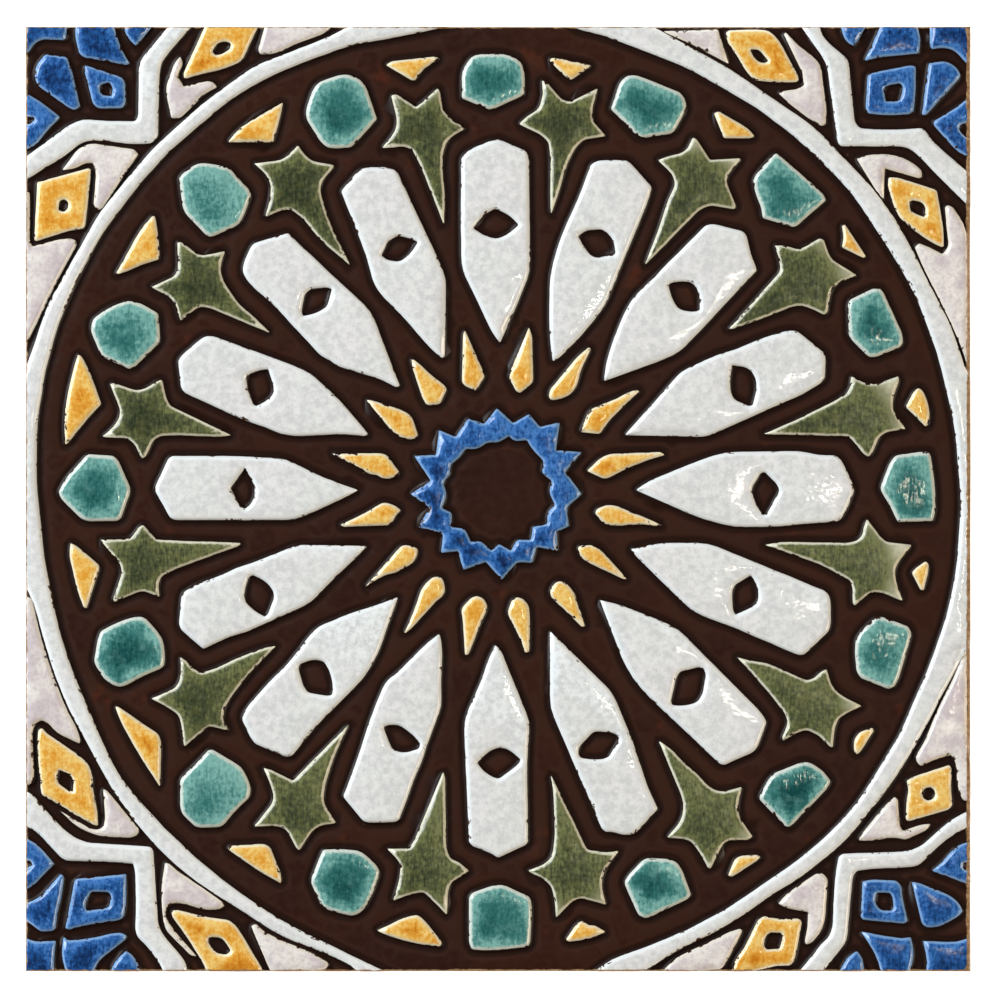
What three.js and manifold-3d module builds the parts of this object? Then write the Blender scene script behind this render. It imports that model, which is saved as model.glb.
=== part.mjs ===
// Relief-glazed decorative tile, drawn in millimetres.
// Origin at the middle of the back face, +Z out of the glazed face, +Y towards the top of the pattern.

import * as THREE from 'three';
import * as BufferGeometryUtils from 'three/addons/utils/BufferGeometryUtils.js';
import Module from 'manifold-3d';

// Overall sizes.
const tileSide = 200;
const tileThickness = 12;

// The raised pattern: height of the pads over the ground and how much wider each pad is at its foot.
const reliefHeight = 1.2;
const wallDraft = 0.35;

// Worn edge round the face and the back.
const arris = 0.4;

// How far a pad's outline may bend at a point before the point counts.
const outlineFineness = 0.2;

// The drawing of the pattern: steps across the tile and the position of its upper left corner.
const drawingSteps = 946;
const drawingLeft = 25;
const drawingTop = 26;
const stepSize = tileSide / drawingSteps;

const groundHeight = tileThickness - reliefHeight;

// Every pad's edge is given in steps of the drawing: x to the right, y down, as x, y pairs.

const petals = [
  {
    edge: [497,138, 526,151, 529,158, 530,255, 530,271, 525,284, 519,300, 511,319, 505,333, 500,343, 492,332,
      486,319, 479,303, 468,282, 463,271, 461,256, 461,157, 470,149],
    hollow: [473,228, 485,214, 495,208, 511,216, 519,225, 507,235, 497,239, 483,235],
  },
  {
    edge: [591,164, 598,160, 628,160, 639,171, 652,187, 648,201, 626,256, 618,273, 612,290, 607,301, 601,311,
      593,321, 580,337, 559,358, 553,361, 550,341, 549,319, 550,274, 561,236, 582,190],
    hollow: [578,236, 586,230, 600,229, 608,233, 614,241, 616,254, 597,258, 588,253],
  },
  {
    edge: [706,225, 714,224, 743,231, 747,235, 750,250, 757,270, 746,282, 735,293, 719,311, 702,330, 687,345,
      681,351, 665,359, 644,366, 626,373, 604,381, 606,364, 614,337, 620,322, 626,311, 630,301, 639,292,
      651,280, 676,255, 689,242, 700,230],
    hollow: [668,285, 673,282, 684,281, 692,282, 698,289, 700,298, 700,310, 694,312, 684,311, 678,308, 673,300],
  },
  {
    edge: [785,331, 796,330, 810,340, 820,348, 825,353, 826,358, 825,378, 821,383, 805,393, 788,400, 767,410,
      749,418, 727,427, 711,435, 703,437, 650,436, 625,435, 634,425, 646,412, 657,399, 670,383, 679,374,
      686,369, 700,362, 719,354, 735,350, 757,340, 772,336],
    hollow: [732,365, 746,367, 751,370, 756,378, 757,388, 756,396, 753,405, 749,406, 735,400, 731,393, 730,384],
  },
  {
    edge: [636,490, 649,481, 662,475, 703,459, 726,452, 799,451, 820,455, 834,455, 840,458, 846,468, 855,489,
      846,512, 840,521, 823,522, 799,525, 770,527, 735,527, 710,521, 687,513, 668,505, 651,497],
    hollow: [765,472, 777,484, 780,491, 773,505, 767,514, 763,515, 756,505, 751,489, 756,481, 761,473],
  },
  {
    edge: [631,549, 649,545, 667,543, 708,543, 715,546, 735,554, 751,561, 775,571, 799,580, 825,591, 829,595,
      831,603, 831,623, 829,631, 818,642, 808,652, 804,655, 798,655, 767,642, 735,628, 703,616, 690,609,
      679,599, 663,583, 649,569, 636,556],
    hollow: [751,575, 757,584, 759,594, 758,602, 753,607, 745,611, 736,615, 733,610, 732,591, 735,585, 744,579],
  },
  {
    edge: [600,600, 611,603, 626,607, 646,615, 664,622, 679,630, 688,638, 705,657, 716,668, 735,686, 748,700,
      760,711, 767,722, 761,736, 756,751, 749,755, 732,762, 725,765, 720,764, 711,756, 700,745, 687,733,
      671,718, 655,702, 642,690, 633,679, 626,668, 621,655, 610,626],
    hollow: [699,667, 704,669, 706,674, 705,685, 703,694, 698,702, 690,705, 679,706, 672,705, 671,700, 673,689,
      676,678, 680,672, 689,669],
  },
  {
    edge: [550,631, 570,650, 586,666, 601,681, 613,693, 617,701, 627,728, 633,742, 639,762, 647,786, 654,799,
      658,809, 652,815, 639,829, 634,835, 622,835, 613,832, 606,832, 602,829, 598,819, 590,799, 580,778,
      572,759, 563,737, 554,719, 550,708, 550,655],
    hollow: [594,731, 613,733, 618,736, 619,741, 614,750, 609,757, 604,759, 594,760, 581,758, 578,754, 579,747,
      584,741],
  },
  {
    edge: [495,645, 501,651, 506,665, 512,679, 520,696, 526,710, 530,722, 528,740, 527,764, 528,799, 528,842,
      526,845, 516,850, 503,856, 498,858, 492,854, 472,846, 469,842, 468,799, 466,767, 464,735, 464,724,
      467,713, 475,695, 482,679, 487,663],
    hollow: [477,763, 481,758, 487,753, 496,748, 505,748, 511,751, 521,760, 518,765, 512,770, 499,779, 494,778,
      484,772],
  },
  {
    edge: [439,634, 441,640, 442,655, 441,687, 442,706, 439,714, 434,726, 428,742, 422,762, 415,777, 409,794,
      402,812, 399,820, 395,822, 368,823, 363,821, 357,815, 349,805, 343,797, 344,792, 350,778, 358,757,
      365,736, 370,719, 378,698, 383,687, 388,680, 398,672, 406,664, 415,654, 428,642],
    hollow: [383,727, 388,725, 400,725, 407,730, 414,736, 420,744, 419,749, 406,753, 398,752, 392,749, 388,741],
  },
  {
    edge: [398,597, 394,610, 388,623, 382,642, 378,654, 372,666, 364,678, 350,692, 340,703, 325,717, 316,726,
      302,743, 292,756, 286,757, 276,753, 255,744, 250,737, 242,720, 243,714, 248,706, 256,697, 271,680,
      287,665, 298,650, 311,634, 319,626, 330,621, 354,612, 375,606],
    hollow: [311,660, 319,660, 324,662, 329,670, 332,679, 333,689, 332,695, 327,696, 308,693, 303,686, 301,676,
      298,668, 300,664],
  },
  {
    edge: [367,546, 358,556, 349,564, 340,572, 330,582, 320,593, 314,599, 306,605, 285,614, 265,623, 246,632,
      226,638, 207,648, 203,649, 190,638, 181,630, 179,624, 180,610, 181,597, 184,592, 199,583, 220,576,
      236,568, 255,562, 279,552, 292,547, 300,545, 327,545],
    hollow: [249,577, 253,575, 263,580, 269,585, 273,591, 274,598, 272,604, 268,614, 265,617, 255,612, 246,603,
      244,597, 245,588],
  },
  {
    edge: [154,489, 160,474, 168,459, 172,456, 231,456, 279,458, 287,460, 303,468, 324,478, 345,486, 358,490,
      340,500, 319,509, 306,516, 295,520, 207,520, 175,520, 170,518, 165,510, 159,498],
    hollow: [245,468, 250,475, 254,484, 255,494, 252,503, 245,509, 239,505, 234,497, 230,488, 238,476],
  },
  {
    edge: [178,361, 182,355, 199,340, 206,336, 213,336, 230,343, 251,350, 271,358, 295,366, 310,373, 319,380,
      340,400, 358,421, 368,434, 365,436, 345,434, 322,435, 295,436, 281,434, 265,427, 246,421, 223,410,
      199,400, 185,393, 181,388, 179,374],
    hollow: [246,378, 249,374, 260,370, 268,369, 271,377, 274,387, 273,395, 265,402, 256,406, 253,404, 248,391],
  },
  {
    edge: [250,248, 254,243, 269,238, 281,234, 287,233, 291,235, 300,245, 312,256, 325,269, 340,282, 359,300,
      371,311, 378,329, 386,351, 393,367, 400,386, 396,387, 388,383, 380,379, 367,376, 351,371, 337,366,
      330,360, 321,356, 306,341, 295,329, 271,302, 254,288, 246,279, 242,271, 244,262],
    hollow: [332,289, 327,287, 319,287, 310,289, 305,294, 303,302, 301,311, 303,316, 313,314, 322,310, 327,306],
  },
  {
    edge: [341,191, 357,172, 365,167, 389,167, 397,171, 435,255, 443,270, 446,281, 446,335, 445,357, 442,358,
      430,348, 414,329, 400,313, 388,302, 381,295, 374,284, 370,269, 366,254],
    hollow: [381,255, 388,242, 397,235, 410,238, 418,242, 409,255, 400,262, 387,260],
  },
];

const stars = [
  [542,80, 546,81, 561,99, 570,102, 580,98, 598,88, 592,110, 593,121, 606,136, 584,139, 575,148, 566,166,
    559,192, 551,214, 550,190, 551,160, 549,142, 542,135, 519,124, 527,116, 539,109, 543,95],
  [693,137, 697,139, 705,152, 710,160, 742,158, 727,176, 727,184, 731,195, 736,205, 735,209, 711,205, 699,210,
    684,224, 662,247, 645,265, 649,252, 661,223, 668,200, 676,184, 672,173, 658,160, 668,156, 682,153, 688,148],
  [775,245, 788,246, 799,250, 809,245, 820,238, 824,240, 827,250, 831,259, 844,267, 857,275, 847,279, 838,283,
    831,291, 828,311, 825,315, 807,306, 796,305, 775,313, 745,325, 728,330, 745,310, 772,281, 781,271, 779,258],
  [764,434, 799,419, 837,400, 847,393, 850,388, 851,376, 862,382, 871,384, 882,382, 899,376, 899,382, 893,398,
    893,410, 898,418, 906,429, 886,432, 879,437, 873,452, 869,457, 864,454, 852,439, 846,436, 791,434],
  [765,545, 780,542, 847,543, 857,541, 863,535, 864,527, 867,519, 879,534, 885,542, 912,545, 900,560, 895,569,
    896,581, 903,601, 884,593, 873,592, 866,596, 855,606, 853,603, 853,588, 851,581, 821,564, 799,557],
  [737,657, 750,661, 767,663, 783,670, 799,677, 807,681, 815,678, 821,672, 827,669, 831,684, 838,693, 847,699,
    862,706, 847,713, 838,719, 835,728, 833,748, 829,746, 819,735, 807,730, 799,732, 783,741, 782,738, 788,724,
    786,714, 777,702, 761,683],
  [659,741, 671,749, 684,763, 697,774, 708,786, 716,791, 724,792, 742,787, 738,806, 739,817, 745,826, 753,837,
    748,840, 729,840, 723,844, 719,853, 711,869, 708,868, 700,853, 692,842, 684,839, 667,838, 681,821, 684,809,
    682,797, 673,777],
  [551,775, 562,799, 571,816, 580,834, 587,850, 594,852, 607,853, 619,851, 606,869, 602,878, 602,889, 606,905,
    590,900, 581,898, 573,901, 556,918, 555,902, 552,888, 547,882, 528,871, 543,865, 550,860, 553,852, 555,834,
    554,799],
  [443,772, 445,777, 445,839, 446,848, 450,859, 458,862, 469,871, 460,876, 451,883, 448,891, 447,915, 444,913,
    431,898, 424,892, 412,894, 393,901, 393,898, 399,882, 401,866, 397,859, 387,849, 409,849, 415,839, 431,799],
  [349,724, 335,754, 330,769, 325,784, 323,799, 326,808, 336,823, 319,826, 311,832, 299,851, 296,848, 287,831,
    281,827, 271,826, 254,827, 265,814, 272,804, 274,796, 270,783, 263,768, 271,770, 293,781, 299,775, 327,746],
  [276,646, 264,657, 251,671, 230,698, 224,709, 223,719, 229,731, 209,726, 201,732, 184,747, 182,735, 181,723,
    178,715, 164,705, 151,699, 175,688, 179,682, 181,671, 180,657, 185,660, 193,669, 201,673, 215,669, 240,657,
    264,648],
  [241,543, 238,546, 199,560, 175,569, 161,576, 158,584, 159,597, 142,590, 127,596, 114,602, 113,599, 118,586,
    122,572, 120,564, 110,551, 100,540, 130,539, 139,527, 143,525, 148,532, 156,540, 175,541],
  [110,384, 113,383, 124,387, 138,391, 150,386, 158,380, 162,380, 166,398, 170,406, 200,420, 215,428, 231,435,
    220,437, 178,435, 159,436, 153,440, 150,447, 146,456, 142,459, 138,453, 134,443, 127,438, 102,437, 114,426,
    119,418, 120,410, 117,401],
  [177,242, 181,242, 192,251, 200,256, 209,254, 225,251, 221,262, 220,270, 223,281, 239,305, 251,314, 270,333,
    251,326, 230,317, 210,308, 199,306, 193,310, 180,321, 175,303, 169,296, 151,287, 163,282, 175,276, 178,268],
  [298,145, 303,153, 312,161, 334,165, 333,168, 322,181, 320,190, 324,206, 332,228, 350,265, 320,240, 304,219,
    291,209, 281,210, 265,217, 270,200, 271,185, 266,174, 254,163, 283,160],
  [391,95, 396,94, 416,107, 438,88, 440,92, 443,111, 452,120, 466,128, 449,138, 443,150, 442,170, 445,195,
    444,224, 441,217, 419,162, 412,149, 404,146, 382,148, 396,130, 397,119],
];

const hexagons = [
  [462,70, 472,56, 480,54, 504,53, 520,60, 524,68, 525,80, 524,95, 521,97, 500,106, 490,110, 482,107, 462,98],
  [611,109, 620,82, 628,75, 637,75, 649,80, 680,92, 685,98, 687,109, 682,119, 673,133, 643,138, 638,136, 622,121],
  [753,178, 759,170, 773,155, 777,153, 795,169, 812,183, 824,195, 826,200, 814,211, 798,225, 794,227, 774,221,
    763,218, 762,209, 755,191],
  [874,288, 881,289, 884,293, 897,322, 903,335, 903,343, 900,347, 876,357, 869,357, 852,340, 849,335, 848,305,
    850,300, 860,294],
  [880,489, 886,474, 891,461, 896,455, 919,452, 930,452, 935,480, 936,510, 933,521, 898,522, 892,509, 886,499],
  [876,617, 882,617, 909,627, 912,634, 905,660, 898,681, 893,688, 888,689, 861,678, 857,672, 855,652, 856,639,
    862,630],
  [803,762, 811,763, 823,771, 831,781, 827,789, 812,806, 794,825, 790,828, 786,827, 775,815, 760,800, 760,796,
    769,779, 775,773, 788,767],
  [645,858, 668,859, 676,862, 682,870, 688,885, 691,895, 688,899, 671,907, 649,918, 642,918, 638,914, 632,900,
    624,883, 628,876, 638,865],
  [469,898, 472,893, 492,886, 503,885, 511,889, 528,896, 531,900, 532,913, 530,942, 528,947, 516,949, 495,951,
    472,950, 469,943],
  [323,850, 336,849, 358,851, 364,854, 377,866, 380,873, 378,881, 372,896, 365,908, 359,914, 351,916, 327,910,
    321,906, 316,895, 310,881, 313,874, 320,855],
  [209,750, 213,750, 228,759, 241,767, 247,777, 251,789, 249,798, 236,810, 222,827, 218,828, 199,828, 194,826,
    182,814, 180,807, 180,781, 182,777],
  [134,617, 142,617, 147,620, 159,634, 163,641, 165,653, 164,666, 160,669, 143,676, 127,685, 120,687, 113,685,
    104,679, 95,665, 94,660, 98,636, 101,631, 118,622],
  [58,492, 65,479, 79,462, 87,454, 95,454, 113,456, 118,460, 127,478, 131,489, 127,500, 121,518, 117,521,
    86,521, 80,518, 71,509, 61,499],
  [92,319, 100,313, 111,306, 121,302, 130,300, 142,304, 158,313, 159,319, 160,338, 159,343, 151,350, 134,367,
    129,369, 114,362, 102,357, 95,343, 90,330, 90,325],
  [179,178, 182,174, 194,165, 200,163, 208,163, 223,166, 230,169, 249,190, 251,195, 249,203, 244,215, 238,225,
    217,234, 211,237, 206,235, 191,220, 183,211, 181,202],
  [306,109, 312,91, 318,82, 338,75, 348,74, 360,79, 366,86, 377,119, 365,131, 351,148, 328,148, 320,141, 306,118],
];

const outerTriangles = [
  [549,60, 553,57, 577,61, 592,65, 582,72, 571,80, 565,76],
  [714,113, 719,111, 726,116, 748,128, 755,136, 751,138, 724,138, 720,128],
  [842,226, 845,224, 853,235, 866,256, 864,258, 842,247, 844,238],
  [919,388, 914,392, 909,401, 906,407, 910,411, 918,419, 926,427, 929,423, 930,412, 927,399, 923,391],
  [926,561, 929,564, 928,575, 924,590, 921,590, 912,573, 916,568],
  [854,740, 860,732, 868,729, 873,728, 874,731, 868,741, 861,751, 857,755, 854,751],
  [728,876, 731,867, 735,859, 741,856, 757,855, 761,857, 757,861, 745,869, 732,877],
  [582,921, 590,926, 595,926, 606,932, 590,939, 569,942, 566,940, 569,935, 576,925],
  [377,931, 384,927, 404,918, 417,915, 422,918, 433,930, 442,942, 441,947, 436,947, 415,944, 391,937],
  [227,849, 230,846, 264,844, 270,847, 275,858, 281,874, 281,884, 268,877, 255,869, 239,857],
  [115,707, 118,707, 130,716, 151,729, 158,734, 161,742, 161,760, 160,787, 156,782, 146,767, 135,749, 120,721],
  [70,543, 75,545, 87,554, 99,565, 99,569, 95,582, 88,600, 86,609, 83,607, 77,590, 72,571, 69,556, 69,546],
  [78,354, 82,357, 92,377, 98,394, 101,404, 96,410, 86,420, 68,443, 65,445, 64,440, 64,420, 66,400, 70,380,
    74,365],
  [152,216, 155,216, 157,227, 159,240, 159,259, 140,265, 128,271, 117,275, 115,275, 119,268, 130,248, 140,230],
  [228,142, 240,127, 256,117, 283,102, 280,118, 273,142],
  [386,65, 391,61, 410,58, 437,56, 439,58, 430,64, 422,70, 415,80, 412,80],
];

const innerDrops = [
  [529,327, 517,354, 511,367, 508,376, 511,383, 516,391, 520,393, 532,383, 533,378, 533,366, 532,348, 532,335],
  [589,347, 591,349, 585,361, 581,370, 578,382, 574,390, 570,394, 561,399, 551,400, 549,397, 550,390, 559,378,
    569,367, 578,356],
  [636,390, 640,391, 630,400, 620,409, 607,423, 602,431, 600,434, 580,432, 583,425, 590,409, 614,400, 627,393],
  [661,452, 665,455, 650,459, 633,465, 620,471, 609,478, 604,479, 597,476, 587,471, 599,459, 609,454, 644,453],
  [606,505, 615,505, 622,508, 639,515, 652,521, 662,525, 655,526, 643,524, 633,524, 620,526, 607,525, 601,521,
    595,513, 597,509],
  [580,546, 593,545, 599,548, 606,557, 614,565, 627,579, 623,579, 610,572, 599,568, 585,561, 579,554, 578,548],
  [558,581, 564,582, 570,587, 575,594, 580,607, 585,626, 582,627, 575,619, 564,609, 551,597, 550,591, 553,585],
  [517,597, 523,599, 529,606, 530,620, 529,652, 525,653, 521,640, 513,625, 507,613, 508,608, 512,600],
  [477,596, 483,598, 487,604, 487,609, 484,617, 479,628, 475,638, 471,647, 468,655, 465,655, 464,636, 463,620,
    461,609, 465,604, 471,598],
  [404,634, 407,628, 414,612, 421,590, 426,583, 433,577, 441,577, 444,582, 445,591, 442,597, 436,601, 428,609,
    420,619, 410,630],
  [365,587, 377,573, 393,554, 400,547, 405,545, 412,546, 418,549, 417,556, 413,563, 404,568, 395,573, 384,575],
  [340,525, 358,517, 370,510, 382,503, 388,503, 394,505, 401,510, 396,515, 393,521, 389,525, 367,526, 344,527],
  [332,454, 367,453, 382,453, 388,456, 393,463, 399,472, 397,476, 388,479, 381,478, 377,475, 370,474, 361,469],
  [366,400, 371,400, 383,404, 399,409, 409,414, 413,419, 416,427, 418,435, 414,439, 407,439, 400,437, 391,430,
    380,418],
  [411,358, 420,364, 431,375, 444,385, 447,389, 443,396, 440,404, 436,405, 427,405, 423,399, 418,385, 413,370],
  [465,330, 463,334, 462,345, 462,382, 465,386, 476,391, 479,385, 485,376, 480,366, 475,354, 470,341],
];

// The sixteen-pointed ring round the disc at the middle.
const starRing = {
  edge: [497,408, 513,423, 529,414, 540,427, 560,422, 556,450, 582,452, 565,472, 582,494, 567,507, 569,526,
    557,532, 558,551, 537,547, 532,563, 517,562, 502,580, 486,562, 463,570, 458,551, 441,553, 443,534, 418,527,
    430,508, 410,494, 431,481, 414,456, 436,455, 439,430, 456,437, 468,418, 484,424],
  hollow: [509,436, 515,441, 527,440, 533,450, 544,461, 542,473, 552,481, 549,492, 555,505, 547,513, 548,524,
    533,527, 531,540, 517,540, 511,551, 499,544, 491,551, 481,541, 471,542, 465,529, 452,527, 452,513, 442,508,
    447,495, 443,483, 451,473, 450,465, 461,456, 465,449, 478,449, 487,442, 498,443],
};

// The circular band: both edges run past the tile's sides, where the band is cut off.
const circleBand = {
  edge: [368,26, 430,14, 500,9, 575,12, 638,27, 662,37, 700,55, 732,70, 783,105, 815,127, 839,151, 873,188,
    895,218, 914,252, 934,293, 950,322, 960,350, 967,372, 980,440, 983,500, 980,560, 970,630, 962,649, 950,681,
    935,710, 919,740, 903,767, 882,797, 866,817, 850,836, 834,851, 802,877, 767,898, 749,912, 716,932, 679,950,
    647,964, 620,975, 560,985, 500,990, 440,985, 385,977, 351,965, 319,951, 284,938, 255,920, 223,900, 199,884,
    167,858, 137,825, 111,788, 85,740, 69,710, 55,676, 45,646, 34,604, 28,572, 18,530, 16,480, 20,430, 28,383,
    34,345, 42,319, 50,300, 60,282, 76,255, 100,211, 150,151, 200,105, 255,65, 300,48, 329,37],
  hollow: [523,24, 577,29, 600,34, 639,48, 682,65, 719,85, 759,109, 796,137, 839,178, 860,204, 879,233, 900,266,
    919,303, 938,354, 951,407, 956,436, 961,495, 960,527, 956,575, 946,620, 930,665, 911,710, 900,735, 879,770,
    857,804, 829,834, 799,860, 767,882, 729,908, 690,929, 650,946, 612,959, 585,970, 500,982, 410,974, 367,958,
    335,945, 298,930, 269,913, 231,887, 199,861, 167,831, 140,802, 117,773, 99,735, 84,700, 71,668, 58,628,
    49,585, 44,559, 41,535, 36,479, 37,423, 45,370, 58,324, 76,282, 100,236, 140,183, 170,150, 200,124, 230,99,
    262,80, 300,63, 350,45, 417,33, 470,29],
};

const upperLeftCorner = [
  { edge: [18,18, 67,18, 66,40, 42,39, 34,43, 28,53, 26,62, 18,64] },
  { edge: [76,18, 75,38, 79,53, 84,57, 103,60, 127,65, 130,63, 121,49, 109,26, 106,18] },
  { edge: [117,18, 126,36, 136,46, 145,38, 160,26, 166,18] },
  { edge: [45,54, 67,57, 71,68, 75,84, 80,106, 75,110, 68,107, 50,94, 37,85, 34,75, 36,65] },
  {
    edge: [85,65, 103,70, 122,77, 125,82, 126,104, 122,108, 98,108, 93,104, 84,70],
    hollow: [101,84, 110,83, 113,88, 111,96, 102,95, 99,89],
  },
  { edge: [18,80, 27,88, 40,101, 60,117, 45,132, 36,145, 27,153, 18,160, 18,127, 30,124, 35,119, 33,117, 18,112] },
  { edge: [185,18, 158,42, 142,58, 139,66, 138,116, 135,121, 110,121, 83,119, 70,124, 50,142, 29,161, 18,170,
    18,188, 29,178, 45,167, 62,158, 80,143, 90,140, 112,141, 130,144, 152,143, 158,136, 159,105, 159,75, 161,62,
    173,47, 210,18] },
  {
    edge: [214,18, 210,26, 199,42, 188,62, 183,74, 184,79, 187,79, 200,74, 220,70, 242,61, 249,50, 262,26, 265,18],
    hollow: [212,51, 217,43, 225,41, 231,43, 230,49, 222,54, 215,55],
  },
  {
    edge: [37,182, 60,175, 88,168, 91,169, 88,190, 85,226, 82,229, 70,230, 36,241, 34,240, 36,210],
    hollow: [59,201, 64,199, 68,202, 68,208, 64,212, 58,210],
  },
  { edge: [180,56, 183,63, 177,76, 184,86, 195,84, 207,81, 213,82, 217,87, 205,93, 180,118, 171,118, 165,92,
    165,88, 170,72, 174,63] },
  { edge: [62,170, 66,163, 78,148, 90,143, 110,145, 134,149, 138,154, 133,163, 115,188, 102,208, 98,210, 93,205,
    94,190, 96,172, 93,163, 85,163, 75,168] },
  { edge: [18,188, 29,192, 30,215, 29,240, 32,246, 60,239, 70,238, 76,240, 76,246, 66,265, 58,279, 50,295, 42,311,
    34,327, 28,340, 18,348] },
  { edge: [270,18, 345,18, 340,26, 326,33, 305,40, 292,45, 284,50, 270,54, 260,54, 258,49, 263,36] },
];

const upperRightCorner = [
  { edge: [836,18, 844,39, 854,47, 862,39, 874,26, 880,18] },
  { edge: [890,18, 913,18, 918,34, 921,41, 919,53, 903,54, 879,57, 866,61, 865,60, 873,47] },
  { edge: [930,18, 980,18, 980,70, 968,65, 963,60, 955,50, 943,47, 932,49, 930,45] },
  {
    edge: [868,76, 871,73, 889,69, 910,65, 916,66, 916,90, 914,111, 910,114, 886,115, 868,113, 866,108, 867,85],
    hollow: [884,89, 889,85, 900,83, 903,86, 902,95, 899,101, 886,101],
  },
  { edge: [929,63, 946,61, 956,66, 961,75, 959,79, 948,90, 934,106, 926,115, 922,115, 924,103, 926,79] },
  { edge: [980,95, 968,98, 956,108, 934,121, 934,125, 943,135, 959,153, 968,160, 980,168, 980,145, 966,138,
    959,129, 961,124, 969,120, 980,117] },
  { edge: [788,18, 812,45, 821,57, 827,63, 829,71, 830,84, 837,130, 838,142, 841,146, 902,146, 911,149, 916,153,
    927,167, 943,185, 956,201, 968,215, 980,228, 980,190, 969,181, 950,159, 934,142, 925,130, 921,128, 886,130,
    860,128, 855,122, 853,111, 851,87, 849,61, 844,55, 831,45, 822,35, 812,18] },
  {
    edge: [726,32, 729,30, 757,29, 771,31, 780,41, 789,60, 798,75, 799,80, 796,82, 775,82, 754,80, 744,68, 737,55,
      728,43],
    hollow: [750,49, 759,49, 769,61, 765,63, 759,62, 753,56],
  },
  {
    edge: [889,177, 898,177, 911,181, 937,190, 938,199, 942,214, 944,230, 944,246, 942,247, 930,241, 914,230,
      900,218, 894,206, 888,185],
    hollow: [910,202, 913,200, 922,202, 926,207, 925,217, 916,214, 910,210],
  },
  { edge: [663,31, 700,29, 718,29, 721,39, 725,52, 729,64, 719,59, 694,45, 667,33] },
  { edge: [784,34, 786,32, 799,46, 812,55, 821,65, 825,90, 827,111, 826,124, 822,126, 807,117, 788,102, 779,93,
    781,91, 797,89, 804,85, 803,73, 797,61, 789,46] },
  { edge: [857,159, 860,157, 873,154, 889,154, 903,157, 916,165, 922,171, 922,177, 919,178, 897,171, 885,168,
    884,177, 884,199, 878,193, 866,175] },
  { edge: [945,207, 948,205, 953,207, 964,223, 968,240, 968,366, 961,345, 951,322, 937,295, 924,268, 915,247,
    919,243, 930,247, 943,254, 949,246, 947,225] },
];

const lowerLeftCorner = [
  { edge: [18,826, 27,835, 37,844, 45,853, 54,864, 47,871, 39,880, 31,888, 26,892, 18,897, 18,876, 27,871, 33,866,
    30,861, 18,854] },
  { edge: [61,874, 64,877, 61,898, 57,913, 55,929, 52,931, 41,932, 34,927, 27,915, 25,907, 28,903, 39,898,
    50,886] },
  {
    edge: [76,879, 90,877, 111,876, 126,874, 126,905, 124,916, 121,920, 100,923, 82,926, 69,930, 65,929, 70,902,
      74,882],
    hollow: [91,892, 108,892, 111,896, 109,907, 104,909, 86,911, 85,904],
  },
  { edge: [18,928, 26,934, 29,940, 36,942, 56,941, 54,953, 53,966, 56,980, 18,980] },
  { edge: [63,937, 69,941, 95,938, 110,934, 121,933, 127,936, 125,940, 111,951, 98,961, 89,972, 82,980, 76,980,
    67,968, 61,959, 62,948] },
  { edge: [127,950, 137,961, 145,973, 150,980, 100,980, 106,973, 114,962] },
  { edge: [18,786, 25,788, 31,793, 41,804, 52,818, 65,831, 76,839, 87,843, 100,844, 127,846, 150,847, 153,850,
    154,871, 156,900, 158,926, 164,937, 177,951, 186,962, 190,980, 172,980, 162,968, 150,950, 137,937, 135,929,
    136,902, 135,873, 133,864, 111,862, 66,861, 61,858, 50,846, 36,831, 25,821, 18,814] },
  {
    edge: [38,730, 42,728, 46,733, 56,741, 69,750, 79,756, 89,765, 93,780, 92,785, 94,799, 97,812, 98,826, 93,825,
      79,817, 50,800, 41,795, 39,767, 37,745],
    hollow: [59,770, 71,776, 73,780, 73,792, 66,790, 57,783, 57,775],
  },
  {
    edge: [171,911, 176,910, 191,914, 210,918, 228,920, 235,925, 244,938, 252,953, 262,967, 265,980, 215,980,
      206,969, 199,958, 191,943, 180,929, 172,917],
    hollow: [208,938, 212,937, 222,938, 228,946, 231,951, 227,955, 218,954, 213,950, 208,943],
  },
  { edge: [18,600, 28,597, 32,600, 36,620, 42,644, 49,662, 54,679, 61,695, 68,713, 76,727, 80,740, 79,744, 73,742,
    65,738, 57,733, 48,723, 41,720, 35,724, 32,732, 33,764, 34,779, 30,785, 18,784] },
  { edge: [103,789, 107,791, 124,813, 134,825, 139,830, 137,836, 130,838, 111,838, 100,837, 87,833, 79,829,
    69,820, 60,811, 80,823, 90,829, 98,830, 103,827, 105,819, 105,805, 104,797] },
  { edge: [165,863, 169,864, 177,871, 191,881, 207,892, 222,902, 224,907, 218,910, 204,910, 185,904, 173,903,
    166,908, 165,917, 174,931, 186,945, 197,957, 191,956, 178,943, 166,931, 163,921, 161,899, 162,879] },
  { edge: [251,926, 256,924, 263,931, 279,940, 297,947, 308,951, 322,958, 329,964, 326,969, 273,970, 265,955,
    258,941] },
];

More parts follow.
